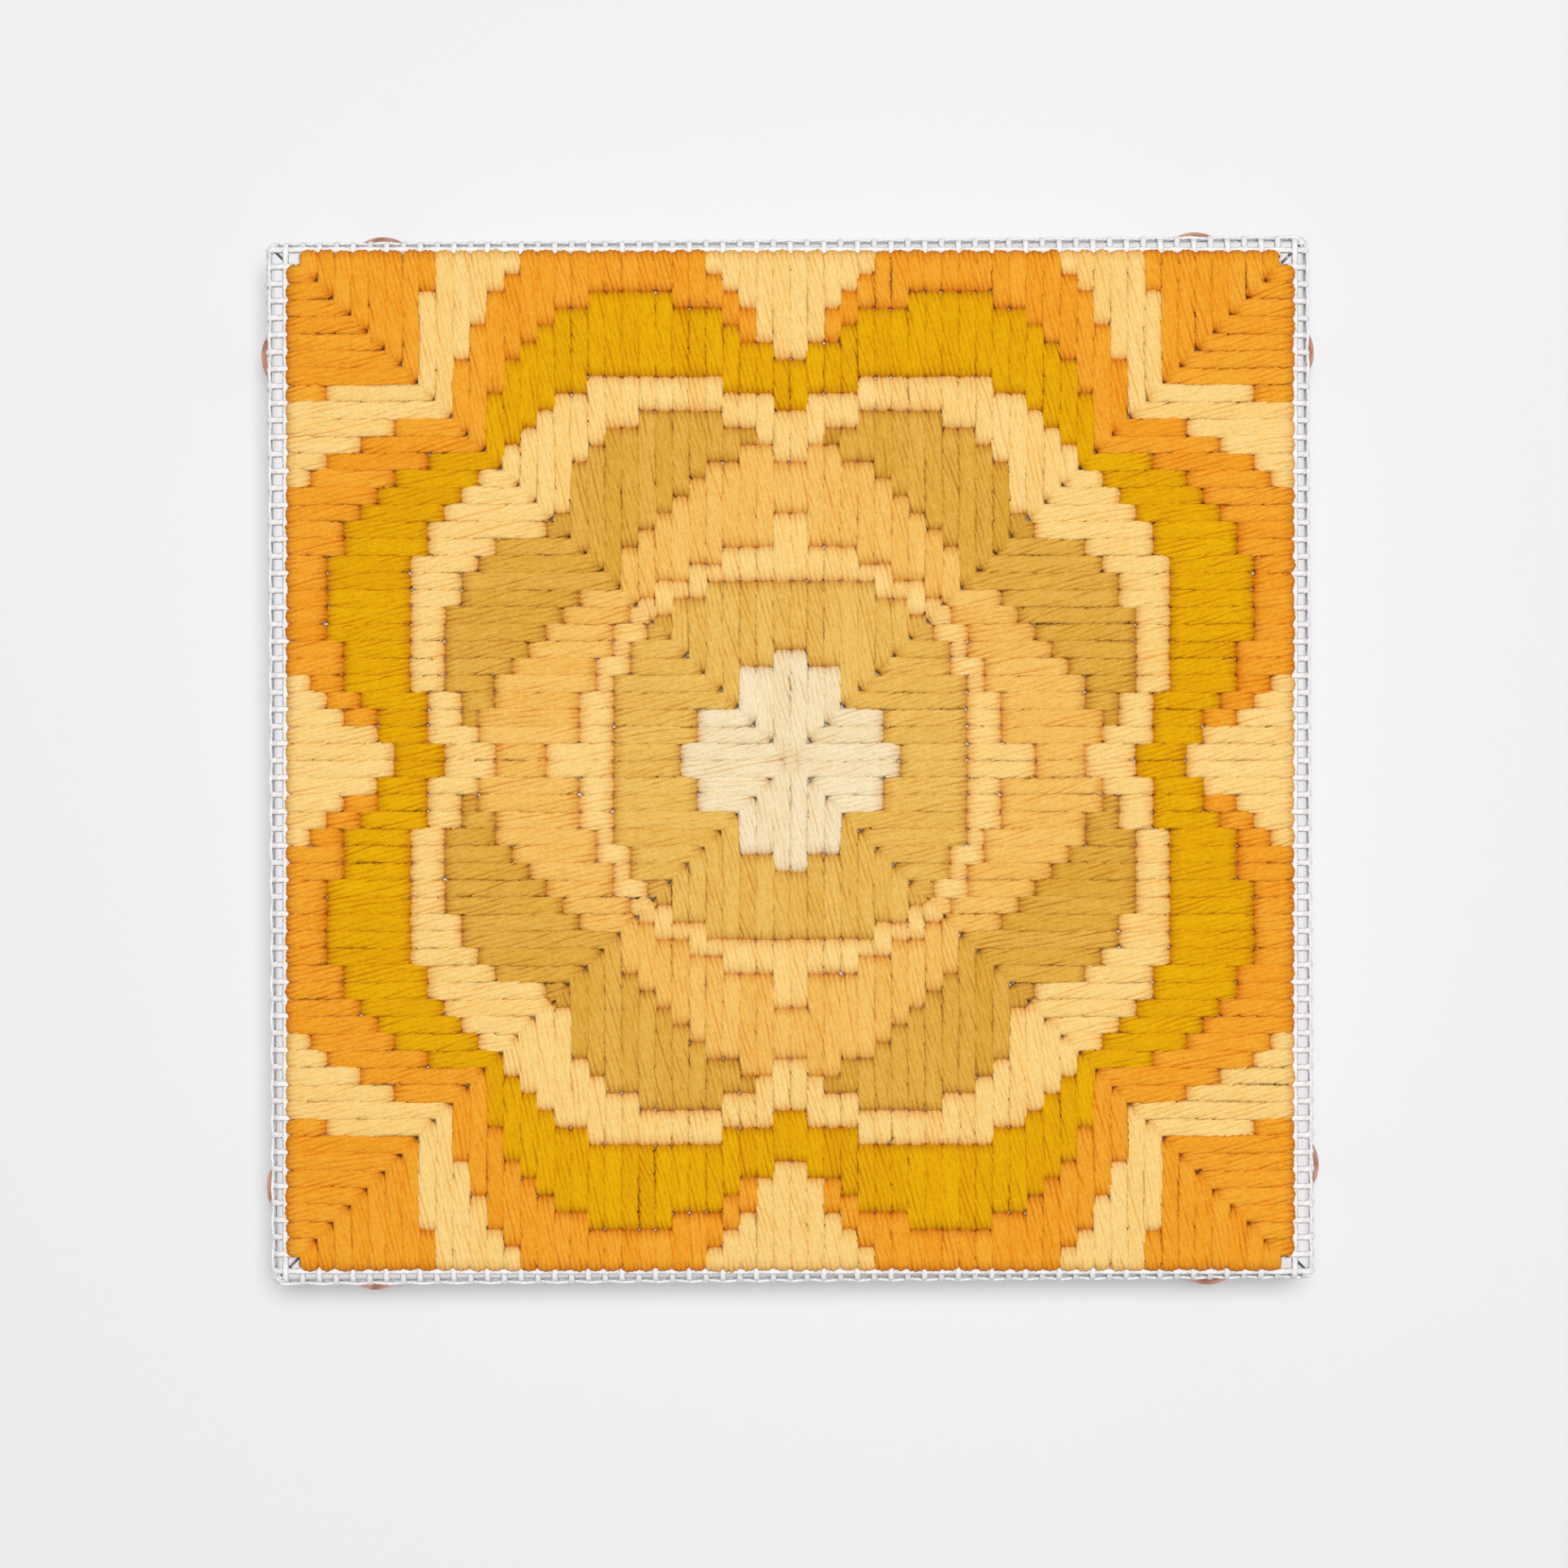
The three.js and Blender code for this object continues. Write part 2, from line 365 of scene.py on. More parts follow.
def edge_threads(rows, quarter, around, dice):
    """Threads that run along one edge, past the last stitches and down the side.

    Each keeps its distance from the front, and goes round half of the corner at either end."""
    row = rows[:, None]
    bent = FLAT_HALF + SHOULDER * QUARTER_TURN / 2 * np.linspace(0, 1, BENT_RINGS)
    straight = np.arange(-2 * FIELD_EDGE, 2 * FIELD_EDGE + 1) * PITCH / 2
    place = np.concatenate([-bent[::-1], straight, bent])[None, :]
    corner = np.clip(np.abs(place) - FLAT_HALF, 0, None) / SHOULDER
    past = row * PITCH - FLAT_HALF + place * math.sin(CLOTH_TURN)
    across = np.clip(place, -FLAT_HALF, FLAT_HALF) + np.sign(place) * past * np.sin(corner)
    along = FLAT_HALF + past * np.cos(corner)
    weave = CRIMP * np.cos(math.pi * place / PITCH) * np.where((row + quarter) % 2, 1, -1)
    across, along = turned(across, along, -quarter * QUARTER_TURN)
    return thread_bundle(across, along, weave, OUT_OF_FACE, around, dice)


CORNER_START = 0.4 * SHOULDER
CORNER_RINGS = 26


def corner_thread(quarter, around, dice):
    """One thread that comes out of the fold at a corner and runs down its rounded edge."""
    past = np.linspace(CORNER_START, CLOTH_REACH, CORNER_RINGS)[None, :]
    slant = QUARTER_TURN / 2 - quarter * QUARTER_TURN
    across, along = turned(FLAT_HALF, FLAT_HALF, -quarter * QUARTER_TURN)
    across, along = unstretched(across + past * math.cos(slant), along + past * math.sin(slant))
    weave = CRIMP * np.cos(math.pi * past / PITCH)
    side = np.array([-math.sin(slant), math.cos(slant), 0.0])
    return thread_bundle(across, along, weave, side, around, dice)


TUCKS_PAST = np.array([[0.5], [1.2], [1.9]])
TUCK_OVERRUN = 0.2
TUCK_SINK = 0.15
TUCK_RINGS = 11


def corner_folds(quarter, around, dice):
    """Threads of the cloth that is tucked in under a corner: short arcs round it, one below the other."""
    angle = np.linspace(-TUCK_OVERRUN, QUARTER_TURN + TUCK_OVERRUN, TUCK_RINGS)[None, :]
    across = FLAT_HALF + TUCKS_PAST * np.cos(angle)
    along = FLAT_HALF + TUCKS_PAST * np.sin(angle)
    across, along = unstretched(*turned(across, along, -quarter * QUARTER_TURN))
    sunk = np.full(across.shape, -TUCK_SINK)
    return thread_bundle(across, along, sunk, OUT_OF_FACE, around, dice)


PLEAT_LEG = 11.0
PLEAT_START = 0.8
PLEAT_COUNT = 4
PLEAT_RINGS = 15
PLEAT_LIFT = 2 * HALF_THICK + 0.1
PLEAT_HALF = FLAT_HALF - 0.4
FOLD_RUN = 0.9
FOLD_LIFT = 0.65 * PLEAT_LIFT
FOLD_OVERRUN = 0.3
FOLD_RINGS = 16
GATHERED = 0.01


def pleat_threads(hand, quarter, around, dice):
    """The spare cloth folded flat on one side beside a corner, a triangle: its rows, columns and fold.

    A row runs from the corner and a column from the raw edge, each as far as the slanted fold, where a
    quarter ellipse takes it down to the cloth below. They pass over and under one another by a cosine of
    their place. The rings that a column would have below the raw edge are gathered there."""
    thread = np.arange(PLEAT_COUNT)[:, None]
    start = PLEAT_START + thread * PITCH
    reach = PLEAT_LEG - start
    way = np.linspace(-FOLD_RUN, reach[:, 0], PLEAT_RINGS).T
    into_fold = np.clip((reach - way) / FOLD_RUN, 0, 1)
    lift = PLEAT_LIFT * np.sqrt(1 - (1 - into_fold) ** 2)
    weave = CRIMP * np.cos(math.pi * (way - PLEAT_START) / PITCH) * np.where(thread % 2, -1, 1)
    from_raw_edge = np.maximum(way, 0) + GATHERED * way
    fixed = np.broadcast_to(start, way.shape)
    fold = np.linspace(-FOLD_OVERRUN, PLEAT_LEG, FOLD_RINGS)[None, :]
    fold_lift = np.full(fold.shape, FOLD_LIFT)
    beside_fold = np.array([hand * (1.0 - quarter), 0.0, -1.0])
    bundles = []
    for from_corner, from_edge, rise, flat_side in (
        (way, fixed, lift + weave, OUT_OF_FACE),
        (fixed, from_raw_edge, lift - weave, np.array([1.0, 0.0, 0.0])),
        (fold, PLEAT_LEG - fold, fold_lift, beside_fold),
    ):
        across = hand * (PLEAT_HALF - from_corner)
        along = FLAT_HALF + CLOTH_REACH - from_edge
        across, along = unstretched(*turned(across, along, -quarter * QUARTER_TURN))
        bundles.append(thread_bundle(across, along, rise, flat_side, around, dice))
    return bundles


def held_value(wire, name):
    """A value that the mesh holds under that name at each of its points."""
    return wire.node("ShaderNodeAttribute", {"attribute_name": name}, {}, "Fac")


COTTON_SHADE = colour(228, 226, 226)
COTTON_LIGHT = colour(250, 249, 248)
TWIST_ALONG = 1.1
TWIST_AROUND = 3


def white_cotton(name):
    """Sized cotton thread: a fine twist round each thread, a little painted shade where it goes under
    another.
    """
    material, shader, wire = new_finish(name, Sheen_Weight=0.15, Sheen_Roughness=0.5)
    tone = held_value(wire, "tone")
    painted_light = held_value(wire, "painted_light")
    spot = wire.node("ShaderNodeUVMap", {"uv_map": "length_and_turn"}, {})
    length = wire.node("ShaderNodeSeparateXYZ", {}, {"Vector": spot}, "X")
    turn = wire.node("ShaderNodeSeparateXYZ", {}, {"Vector": spot}, "Y")
    turns = length * TWIST_ALONG + turn * TWIST_AROUND
    twist = wire.math("SINE", turns * (2 * math.pi)) * 0.5 + 0.5
    lint = noise(wire, object_place(wire), 2600.0)
    # Painted shade where the thread lies low in the weave or under the wool; lint and tone vary at random.
    shade = ease(painted_light, 0.0, 0.9) * 0.6 + lint * 0.25 + tone * 0.06
    feed(
        shader,
        Base_Color=blend(shade, COTTON_SHADE, COTTON_LIGHT),
        Roughness=0.9 - lint * 0.2,
        Normal=bump(wire, twist * 0.6 + lint * 0.4, 0.00012, 0.7),
    )
    return material


PLACE_STEP = 1 / 3
MIDDLE_END = 28.33
BARE_START = 28.67
WORKED_SINK = 0.2
WORKED_FACETS = 4
BARE_FACETS = 6
thread_dice = np.random.default_rng(10)
last_place = CUT_HALF / PITCH
inner_columns = np.arange(-LAST_WORKED, LAST_WORKED + 1)
rim_columns = np.array([-LAST_WORKED - 1, LAST_WORKED + 1])
side_rows = np.arange(LAST_WORKED + 2, math.floor(last_place) + 1)
middle_places = np.arange(-MIDDLE_END, MIDDLE_END + PLACE_STEP / 2, PLACE_STEP)
bare_places = np.append(np.arange(BARE_START, last_place, PLACE_STEP), last_place)
rim_places = np.concatenate([-bare_places[::-1], middle_places, bare_places])
threads = []
for quarter in (0, 1):
    threads.append(
        crossing_threads(inner_columns, inner_columns, quarter, WORKED_FACETS, thread_dice, -WORKED_SINK)
    )
    threads.append(crossing_threads(rim_columns, rim_places, quarter, BARE_FACETS, thread_dice))
for quarter in range(4):
    threads.append(crossing_threads(inner_columns, bare_places, quarter, BARE_FACETS, thread_dice))
    threads.append(edge_threads(side_rows, quarter, BARE_FACETS, thread_dice))
    threads.append(corner_thread(quarter, BARE_FACETS, thread_dice))
    threads.append(corner_folds(quarter, BARE_FACETS, thread_dice))
for hand in (-1, 1):
    for quarter in (0, 2):
        threads += pleat_threads(hand, quarter, BARE_FACETS, thread_dice)
canvas = tube_piece("canvas_weave", threads, white_cotton("white_cotton"))
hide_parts("canvas")
2 * CUT_HALF * MM
2 * CUT_HALF * MM

# The wool stitching: a four-way flower in straight stitches, each over one to nine threads of the canvas,
# worked in seven wools. Each stitch is one soft yarn of five plies, drawn through a hole at either end, and
# the four quarters turn at the diagonals.
BANDS = (
    # wool, height at the middle, height of the lobe, the lobe's column, foot at the diagonal, roundness
    ("cream", 7.5, 5.5, 1.5, 3.6, 1.6),
    ("gold", 10.5, 10.5, 2.0, 7.6, 1.8),
    ("pale_yellow", 14.5, 12.5, 2.5, 9.2, 1.2),
    ("apricot", 17.5, 18.5, 2.5, 10.6, 1.2),
    ("old_gold", 17.5, 20.5, 6.0, 13.6, 2.2),
    ("pale_yellow", 20.5, 22.6, 7.5, 16.8, 2.0),
    ("mustard", 23.5, 27.4, 9.0, 18.2, 2.0),
    ("orange", 23.5, 31.5, 9.5, 20.0, 2.0),
    ("pale_yellow", 40.0, 40.0, 10.0, 22.0, 2.0),
    ("orange", 60.0, 60.0, 10.0, 40.0, 2.0),
)
INNER_ROUNDNESS = 1.2


def band_edge(column, middle, lobe, lobe_column, foot, roundness):
    """The outer edge of a band, in threads from the centre, over each column.

    A sine climbs from the middle to the lobe, and a superellipse falls from there to where the band meets
    the diagonal. Each height is then taken to the nearest row of holes, which gives the steps."""
    climb = np.sin(QUARTER_TURN * np.clip(column / lobe_column, 0, 1)) ** INNER_ROUNDNESS
    fall = np.clip((column - lobe_column) / (foot - lobe_column), 0, 1) ** roundness
    height = np.where(
        column <= lobe_column,
        middle + (lobe - middle) * climb,
        foot + (lobe - foot) * (1 - fall) ** (1 / roundness),
    )
    return np.clip(np.round(height - 0.5) + 0.5, column, FIELD_EDGE)


def charted_stitches():
    """Every stitch of the flower as rows of wool, column, first hole row, last hole row and quarter.

    Each column of an eighth is filled from the diagonal outwards, a band at a time, and mirrored and turned.
    Two small cream stitches tie the middle."""
    column = np.arange(LAST_WORKED) + 0.5
    start = column.copy()
    rows = []
    for wool, *shape in BANDS:
        end = np.maximum(band_edge(column, *shape), start)
        worked = end - start >= 1
        rows += [(wool, *row) for row in np.stack([column, start, end], axis=-1)[worked].tolist()]
        start = np.where(worked, end, start)
    turned_rows = [
        (wool, hand * at, low, high, quarter)
        for wool, at, low, high in rows
        for hand in (-1, 1)
        for quarter in range(4)
    ]
    return turned_rows + [("cream", at, -0.5, 0.5, 1) for at in (-0.5, 0.5)]


HOLE_INSET = 0.02
DIAGONAL_INSET = -0.6
EDGE_INSET = -0.83
CLIMB = 0.75
CLIMB_RINGS = 4
RING_STEP = 1.15
HOLE_LIFT = -0.2
AXIS_LIFT = 1.1


def stitch_rings(count, first_inset, last_inset):
    """Where a yarn's rings lie over a stitch of that many threads.

    They are given as the distance from its first end, the way along the cloth, and the rise from 0 to 1. A
    quarter ellipse climbs out of the first hole, the top runs level, and the same ellipse dives into the
    last."""
    span = count * PITCH - first_inset - last_inset
    angle = np.linspace(0, QUARTER_TURN, CLIMB_RINGS, endpoint=False)
    level = np.linspace(CLIMB, span - CLIMB, max(2, round((span - 2 * CLIMB) / RING_STEP) + 1))
    rising = CLIMB * (1 - np.cos(angle))
    way = np.concatenate([rising, level, span - rising[::-1]])
    rise = np.concatenate([np.sin(angle), np.ones(len(level)), np.sin(angle)[::-1]])
    return way, first_inset + way, rise


HALF_TALL = 0.75
END_TALL = 0.35
PILLOW = 2.4
TOP_SHARE = 0.78
UNDERSIDE = 0.5
PLIES = 5
PLY_RIDGE = np.array([0.0, 0.75, 1.0, 0.75])
PLY_LOOSENESS = (0.3, 1)
PLY_SWELL = 0.06
TWIST_LENGTH = -15.0
TWIST_SPREAD = 0.2
FURROW_LEAST = 0.04
FURROW_DEPTH = 0.44


def plied_section(length, rise, stitches, dice):
    """The section of a soft yarn of five plies that turn slowly round it, for each ring of each stitch.

    A point of the section has a phase. As the phase grows, the point goes straight across the top, from 1 to
    -1, and quickly back underneath, at the height of a superellipse. Every ply adds a rounded ridge between
    two grooves. The phase also grows with the length, so that the plies slant across the stitch."""
    spots = np.arange(PLIES * len(PLY_RIDGE))
    twist = dice.normal(1, TWIST_SPREAD, (stitches, 1, 1)) / TWIST_LENGTH
    phase = spots / len(spots) + dice.uniform(0, 1, (stitches, 1, 1)) + length[:, None] * twist
    phase = phase % 1
    over = np.interp(phase, [0, TOP_SHARE, 1], [1, -1, 1])
    arch = (1 - np.abs(over) ** PILLOW) ** (1 / PILLOW)
    furrow = dice.uniform(0, 1, (stitches, len(length) + 2, PLIES))
    furrow = furrow * dice.uniform(*PLY_LOOSENESS, (stitches, 1, PLIES))
    furrow = FURROW_LEAST + FURROW_DEPTH * (furrow[:, :-2] + 2 * furrow[:, 1:-1] + furrow[:, 2:]) / 4
    ridge = PLY_RIDGE[spots % len(PLY_RIDGE)]
    groove = np.repeat(furrow, len(PLY_RIDGE), axis=2) * (1 - ridge)
    swell = np.repeat(dice.normal(0, PLY_SWELL, (stitches, 1, PLIES)), len(PLY_RIDGE), axis=2) * ridge
    tall = HALF_TALL * (END_TALL + (1 - END_TALL) * rise)[:, None]
    height = np.where(phase < TOP_SHARE, tall * arch - groove + swell, -UNDERSIDE * tall * arch)
    return over, height, groove


TONE_SPREAD = 0.5
TONE_MOST = 1.5


def yarn_tones(count, dice):
    """How light or dark each length of yarn is: a bell curve round 0, cut off on both sides."""
    return dice.normal(0, TONE_SPREAD, count).clip(-TONE_MOST, TONE_MOST)


HALF_WIDE = 1.6
END_NARROW = 0.08
NARROW_SPREAD = 0.1
NARROW_MOST = 0.3
NARROW_REACH = 1.4
NARROW_POWER = 0.6
CROWN = 0.15
CROWN_COUNT = 4
SWAY = 0.1
SWAY_STARTS = (0, 6.3)
SWAY_WAVES = (1.5, 3.0)
UNEVENNESS = 0.05
ROUND_END = 0.55
ROUND_SHARES = (0.4, 1.2)
ROUND_REACH = 1.3
ROUND_POWER = 2.5
END_LIGHT = 0.4
LIGHT_REACH = 1.6
GROOVE_SHADE = 2.2
GROOVE_SHADE_MOST = 0.75
YARN_STARTS = (0, 40)


def stitch_bundle(column, low, quarter, count, insets, dice):
    """Like stitches, each one plied yarn that leaves one hole, runs along the cloth and dives into another.

    Half way it is a little higher, by a sine, and it sways by a slow sine of its length. Towards its ends it
    narrows, and its sides are drawn back from the hole, which rounds them."""
    from_end, way, rise = stitch_rings(count, *insets)
    each = (len(column), 1)
    near_end = np.minimum(from_end, from_end[-1] - from_end)
    steps = np.hypot(np.diff(way), np.diff(rise) * (AXIS_LIFT - HOLE_LIFT))
    length = np.concatenate([[0], np.cumsum(steps)])
    angle = (CLOTH_TURN - quarter * QUARTER_TURN)[:, None]

    narrow = dice.normal(END_NARROW, NARROW_SPREAD, each).clip(0.0, NARROW_MOST)
    spread = 1 - narrow * (1 - np.clip(near_end / NARROW_REACH, 0, 1) ** NARROW_POWER)
    crown = CROWN * np.sin(math.pi * from_end / from_end[-1]) * min(count / CROWN_COUNT, 1)
    sway_start = dice.uniform(*SWAY_STARTS, each)
    sway = SWAY * np.sin(sway_start + length / dice.uniform(*SWAY_WAVES, each))
    slip = dice.normal(0, UNEVENNESS, each)
    across, along = turned(column[:, None] * PITCH + sway, low[:, None] * PITCH + way + slip, angle)
    climb = AXIS_LIFT - HOLE_LIFT + dice.normal(0, UNEVENNESS, each)
    paths = over_frame(across, along, HOLE_LIFT + climb * rise + crown)

    over, height, groove = plied_section(length, rise, len(column), dice)
    side = np.stack([-np.cos(angle), -np.sin(angle), 0 * angle], axis=-1)
    section_x = HALF_WIDE * over * spread[:, :, None]
    points = carried(paths, np.broadcast_to(side, paths.shape), section_x, height)
    inwards = np.sign(from_end[-1] / 2 - from_end) * ROUND_END * np.clip(1 - near_end / ROUND_REACH, 0, 1)
    pulled = dice.uniform(*ROUND_SHARES, (*each, 1)) * inwards[:, None] * np.abs(over) ** ROUND_POWER
    points[..., 0] -= np.sin(angle)[:, :, None] * pulled
    points[..., 1] += np.cos(angle)[:, :, None] * pulled

    length = dice.uniform(*YARN_STARTS, each) + length
    tone = yarn_tones(len(column), dice)
    # Painted light for each point: painted shade where the yarn dives into a hole and over the last
    # millimetres to its ends, and in the grooves between the plies.
    light = rise * (END_LIGHT + (1 - END_LIGHT) * np.clip(near_end / LIGHT_REACH, 0, 1))
    painted_light = light[:, None] * (1 - np.minimum(groove * GROOVE_SHADE, GROOVE_SHADE_MOST))
    return points, length, tone, painted_light


FLOAT_WIDE = 1.25
FLOAT_TALL = 0.45
FLOAT_FACETS = 5
FLOAT_SINK = HALF_THICK + FLOAT_TALL
FLOAT_SPREAD = 0.06
FLOAT_WAY = np.array([0.0, 0.08, 0.35, 0.65, 0.92, 1.0])
# How far the float dips below the cloth along its way, which is also its painted light: painted shade near
# its ends.
FLOAT_DIP_AND_LIGHT = np.array([0.1, 0.85, 1.0, 1.0, 0.85, 0.1])
LEAST_SEEN = 0.2
BAR_CLEARANCE = 1.4
OPENING_HALF = bar_low[1] - BAR_CLEARANCE


def float_bundle(column, low, high, quarter, dice):
    """The yarn on the back, seen inside the frame: from each last hole to the first hole of the next column.

    Its way is straight, from where it comes out from behind a bar to where it goes behind one, and it dips
    below the cloth by a short table of depths. The same table is its painted light, with painted shade near
    its ends, where it goes into the cloth."""
    angle = CLOTH_TURN - quarter * QUARTER_TURN
    start = over_frame(*turned(column * PITCH, high * PITCH, angle), 0.0)
    step = over_frame(*turned((column + 1) * PITCH, low * PITCH, angle), 0.0) - start
    walls = np.stack([-OPENING_HALF - start[:, :2], OPENING_HALF - start[:, :2]]) / step[:, :2]
    enters = walls.min(axis=0).max(axis=1).clip(0, 1)
    leaves = walls.max(axis=0).min(axis=1).clip(0, 1)
    seen = leaves - enters > LEAST_SEEN
    way = enters[seen, None] + (leaves - enters)[seen, None] * FLOAT_WAY
    paths = start[seen, None] + step[seen, None] * way[:, :, None]
    paths[:, :, 2] -= (FLOAT_SINK + dice.normal(0, FLOAT_SPREAD, (len(paths), 1))) * FLOAT_DIP_AND_LIGHT
    ahead = paths[:, -1:] - paths[:, :1]
    side = np.stack([-ahead[..., 1], ahead[..., 0], 0 * ahead[..., 2]], axis=-1)
    section = oval_section(FLOAT_WIDE, FLOAT_TALL, FLOAT_FACETS)
    points = carried(paths, np.broadcast_to(side, paths.shape), *section)
    length = dice.uniform(*YARN_STARTS, (len(paths), 1)) + np.linalg.norm(ahead, axis=-1) * FLOAT_WAY
    # The same table gives its painted light: painted shade near its ends, where it goes into the cloth.
    return points, length, yarn_tones(len(paths), dice), FLOAT_DIP_AND_LIGHT[:, None]


STRAND_SCALE = (0.3, 9, 1)
FIBRE_SCALE = (0.75, 15, 1)


def plied_wool(name, painted_shade, body, tip):
    """Matt plied wool: fine streaks along the fibres, a lighter nap, and a warm painted shade where it
    dives.

    The painted shade also lies in thin dark streaks between the fibres and in the grooves between plies.
    """
    material, shader, wire = new_finish(
        name, Roughness=0.95, Specular_IOR_Level=0.15, Sheen_Weight=0.2, Sheen_Roughness=0.4, Sheen_Tint=tip
    )
    tone = held_value(wire, "tone")
    painted_light = held_value(wire, "painted_light")
    spot = wire.node("ShaderNodeUVMap", {"uv_map": "length_and_turn"}, {})
    strands = noise(wire, stretched(wire, spot, STRAND_SCALE), 1.0, 1.0)
    fibres = noise(wire, stretched(wire, spot, FIBRE_SCALE), 1.0, 3.0, 0.65)
    nap = noise(wire, object_place(wire), 1500.0, 2.0, 0.6)
    light = strands * 0.25 + fibres * 0.42 + nap * 0.33 + tone * 0.07
    fleece = blend(ease(light, 0.36, 0.64), body, tip)
    # Painted shade between the fibres: thin dark streaks of the shade colour.
    fleece = blend(ease(fibres, 0.44, 0.3) * 0.22, fleece, painted_shade)
    # Painted shade where the yarn dives into a hole, near its ends and in the grooves between its plies.
    feed(
        shader,
        Base_Color=blend(ease(painted_light, 0.0, 0.9), painted_shade, fleece),
        Normal=bump(wire, fibres * 0.7 + nap * 0.3, 0.0005, 0.9),
    )
    return material


WOOLS = {
    # slot of the record, painted shade for creases and ends, the body of the wool, and its lit fibre tips
    "cream": ("wool_cream", colour(222, 176, 116), colour(247, 223, 176), colour(252, 234, 198)),
    "gold": ("wool_gold", colour(196, 124, 28), colour(232, 180, 78), colour(242, 198, 104)),
    "pale_yellow": ("wool_pale_yellow", colour(232, 158, 62), colour(253, 208, 120), colour(255, 220, 144)),
    "apricot": ("wool_apricot", colour(214, 130, 36), colour(245, 185, 84), colour(250, 201, 110)),
    "old_gold": ("wool_gold", colour(178, 106, 20), colour(223, 165, 54), colour(235, 183, 80)),
    "mustard": ("wool_mustard", colour(186, 110, 0), colour(229, 163, 0), colour(240, 180, 0)),
    "orange": ("wool_orange", colour(208, 102, 6), colour(243, 157, 29), colour(249, 175, 53)),
}
stitch_dice = np.random.default_rng(4)
chart = charted_stitches()
for wool, (slot, painted_shade, body, tip) in WOOLS.items():
    worked = np.array([row[1:] for row in chart if row[0] == wool])
    counts = np.round(worked[:, 2] - worked[:, 1]).astype(int)
    at_diagonal = np.abs(worked[:, 0]) == worked[:, 1]
    at_edge = worked[:, 2] == FIELD_EDGE
    bundles = [float_bundle(*worked.T, stitch_dice)]
    kinds = np.stack([counts, at_diagonal, at_edge], axis=-1)
    for kind in np.unique(kinds, axis=0):
        column, low, _, quarter = worked[(kinds == kind).all(axis=1)].T
        count, diagonal, edge = kind.tolist()
        insets = (DIAGONAL_INSET if diagonal else HOLE_INSET, EDGE_INSET if edge else HOLE_INSET)
        bundles.append(stitch_bundle(column, low, quarter, count, insets, stitch_dice))
    stitching = tube_piece(f"stitches_{wool}", bundles, plied_wool(f"wool_{wool}", painted_shade, body, tip))
    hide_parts("wool_stitching")

# The tacks: eight upholstery tacks with domed, copper-plated steel heads, two pressed into each side of the
# frame. Each head's rim bears on the canvas, and its pin goes through the weave into the bar.
HEAD_RISE = 1.7
RIM_STAND = 0.05
TACK_SEAT = FLAT_HALF + SHOULDER + HALF_THICK + RIM_STAND
RIM_BEAD = 0.22
PIN_RADIUS = 0.6
PIN_POINT = 2.0
DOME_RINGS = 15
ROLL_FROM = 1.1
ROLL_TO = -2.2
ROLL_RINGS = 8


def tack_profile(radius, reach):
    """Half of a tack's outline from crown to point, as distance from its axis and height over the canvas.

    A circular arc makes the dome, a small circle the rolled rim, and straight lines the hollow and the
    pin."""
    arc = (radius**2 + HEAD_RISE**2) / (2 * HEAD_RISE)
    spread = np.linspace(0, math.asin((radius - RIM_BEAD) / arc), DOME_RINGS)
    dome = np.stack([arc * np.sin(spread), HEAD_RISE - arc * (1 - np.cos(spread))], axis=-1)
    roll = np.linspace(ROLL_FROM, ROLL_TO, ROLL_RINGS)
    bead = np.stack([radius + RIM_BEAD * (np.cos(roll) - 1), RIM_BEAD * (np.sin(roll) + 1)], axis=-1)
    hollow = [[radius * 0.82, 0.3], [radius * 0.5, 0.75], [PIN_RADIUS + 0.3, 0.95], [PIN_RADIUS, 0.8]]
    pin = [[PIN_RADIUS, HEAD_RISE - reach + PIN_POINT], [0.0, HEAD_RISE - reach]]
    return np.concatenate([dome, bead, hollow, pin])


COPPER = colour(214, 146, 112)
TARNISHED = colour(150, 92, 62)


def plated_steel(name):
    """Copper plate on pressed steel: a soft polish, faint draw marks, and a brown tarnish in patches."""
    material, shader, wire = new_finish(name, Metallic=1.0)
    place = object_place(wire)
    tarnish = ease(noise(wire, place, 420.0, 4.0, 0.6), 0.35, 0.75)
    marks = noise(wire, place, 2400.0, 2.0)
    feed(
        shader,
        Base_Color=blend(tarnish, COPPER, TARNISHED),
        Roughness=0.24 + tarnish * 0.22 + marks * 0.08,
        Normal=bump(wire, marks * 0.5 + tarnish * 0.5, 0.00006, 0.5),
    )
    return material


TACK_FACETS = 44


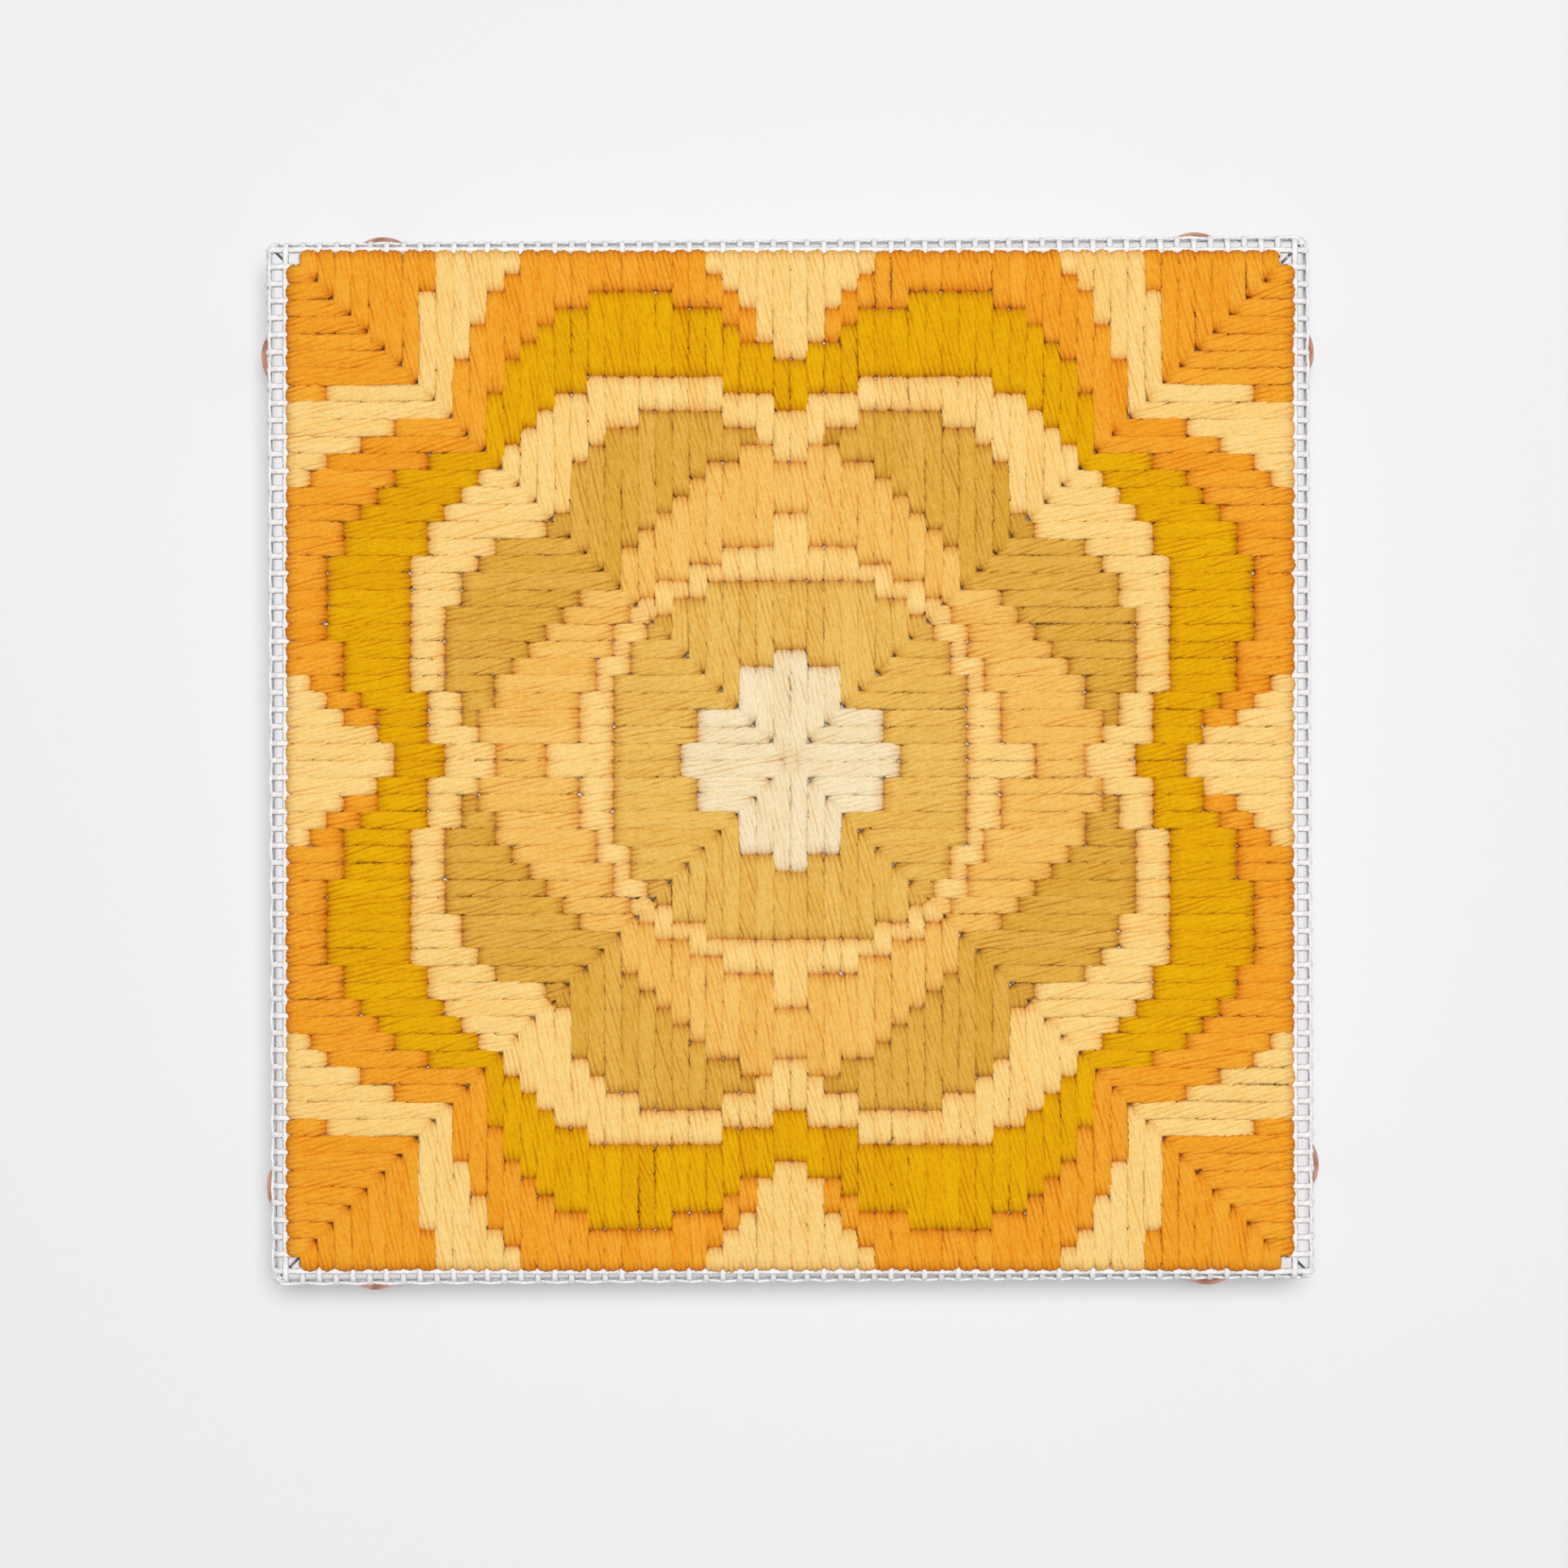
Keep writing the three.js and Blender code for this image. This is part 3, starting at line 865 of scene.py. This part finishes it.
def lathed_tack(node, material):
    """The outline turned round the axis of the CAD tack, with one point at the crown and one at the tip."""
    low, high = (np.array(corner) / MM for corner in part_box(node))
    middle = (low + high) / 2
    axis = 0 if high[0] - low[0] > high[1] - low[1] else 1
    facing = math.copysign(1, middle[axis])
    profile = tack_profile((high[2] - low[2]) / 2, high[axis] - low[axis])
    out = np.zeros(3)
    out[axis] = facing
    side = np.cross(OUT_OF_FACE, out)
    foot = middle.copy()
    foot[axis] = facing * TACK_SEAT
    turn = np.arange(TACK_FACETS) * 2 * math.pi / TACK_FACETS
    round_it = np.cos(turn)[:, None] * side + np.sin(turn)[:, None] * OUT_OF_FACE
    rings = foot + profile[1:-1, None, :1] * round_it + profile[1:-1, None, 1:] * out
    top, bottom = foot + profile[[0, -1], 1:] * out
    points = np.concatenate([[top], rings.reshape(-1, 3), [bottom]])
    index = 1 + np.arange(rings.shape[0] * TACK_FACETS).reshape(-1, TACK_FACETS)
    beside = np.roll(index, -1, axis=1)
    walls = np.stack([index[:-1], index[1:], beside[1:], beside[:-1]], axis=-1).reshape(-1, 4)
    crown = np.stack([np.zeros(TACK_FACETS, int), index[0], beside[0]], axis=-1)
    tip = np.stack([np.full(TACK_FACETS, len(points) - 1), beside[-1], index[-1]], axis=-1)
    mesh = bpy.data.meshes.new(f"{node}_head")
    mesh.from_pydata((points * MM).tolist(), [], [*crown.tolist(), *walls.tolist(), *tip.tolist()])
    mesh.shade_smooth()
    mesh.materials.append(material)
    piece = bpy.data.objects.new(f"{node}_head", mesh)
    bpy.context.scene.collection.objects.link(piece)
    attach(piece, "root")
    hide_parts(node)


copper = plated_steel("copper_plate")
for node in sorted(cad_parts):
    if node.startswith("tack_"):
        lathed_tack(node, copper)

# The studio: a plain white table, a broad soft light from the upper right, an even white room, and a camera
# straight above the panel, a little below its middle, as in the photograph. Lengths here are in metres.
FLOOR_HALF = 2.0
FLOOR_DROP = 0.0002
TABLE_SHADE = colour(232, 232, 232)
TABLE_LIGHT = colour(235, 235, 235)
floor_mesh = bpy.data.meshes.new("table_top")
floor_mesh.from_pydata(
    [(x * FLOOR_HALF, y * FLOOR_HALF, -FLOOR_DROP) for x, y in ((-1, -1), (1, -1), (1, 1), (-1, 1))],
    [],
    [(0, 1, 2, 3)],
)
table_paint, table_shader, table_wire = new_finish("white_table", Roughness=0.8, Specular_IOR_Level=0.2)
unevenness = noise(table_wire, object_place(table_wire), 4.0, 2.0)
feed(table_shader, Base_Color=blend(unevenness, TABLE_SHADE, TABLE_LIGHT))
floor_mesh.materials.append(table_paint)
floor = bpy.data.objects.new("table_top", floor_mesh)
bpy.context.scene.collection.objects.link(floor)

ROOM_LIGHT = 0.27
room = bpy.data.worlds.new("white_room")
room.use_nodes = True
room.node_tree.nodes["Background"].inputs["Color"].default_value = (1.0, 1.0, 1.0, 1.0)
room.node_tree.nodes["Background"].inputs["Strength"].default_value = ROOM_LIGHT
bpy.context.scene.world = room

SOFTBOX_PLACE = (0.07, 0.14, 1.35)
SOFTBOX_WIDTH = 0.5
SOFTBOX_POWER = 15.2
softbox_data = bpy.data.lights.new("softbox", "AREA")
softbox_data.shape = "DISK"
softbox_data.size = SOFTBOX_WIDTH
softbox_data.energy = SOFTBOX_POWER
softbox = bpy.data.objects.new("softbox", softbox_data)
softbox.location = SOFTBOX_PLACE
softbox.rotation_euler = (-softbox.location).to_track_quat("-Z", "Y").to_euler()
bpy.context.scene.collection.objects.link(softbox)

CAMERA_RISE = 0.56
CAMERA_ASIDE = -0.00095
CAMERA_BELOW = -0.0035
VIEW_WIDTH = 0.2336
SENSOR_WIDTH = 36.0
camera_data = bpy.data.cameras.new("camera")
camera_data.sensor_width = SENSOR_WIDTH
camera_data.lens = SENSOR_WIDTH * CAMERA_RISE / VIEW_WIDTH
camera = bpy.data.objects.new("camera", camera_data)
camera.location = (CAMERA_ASIDE, CAMERA_BELOW, CAMERA_RISE + canvas_high[2] * MM)
camera.rotation_euler = (0.0, 0.0, CLOTH_TURN)
bpy.context.scene.collection.objects.link(camera)
bpy.context.scene.camera = camera
bpy.context.scene.view_settings.view_transform = "Standard"
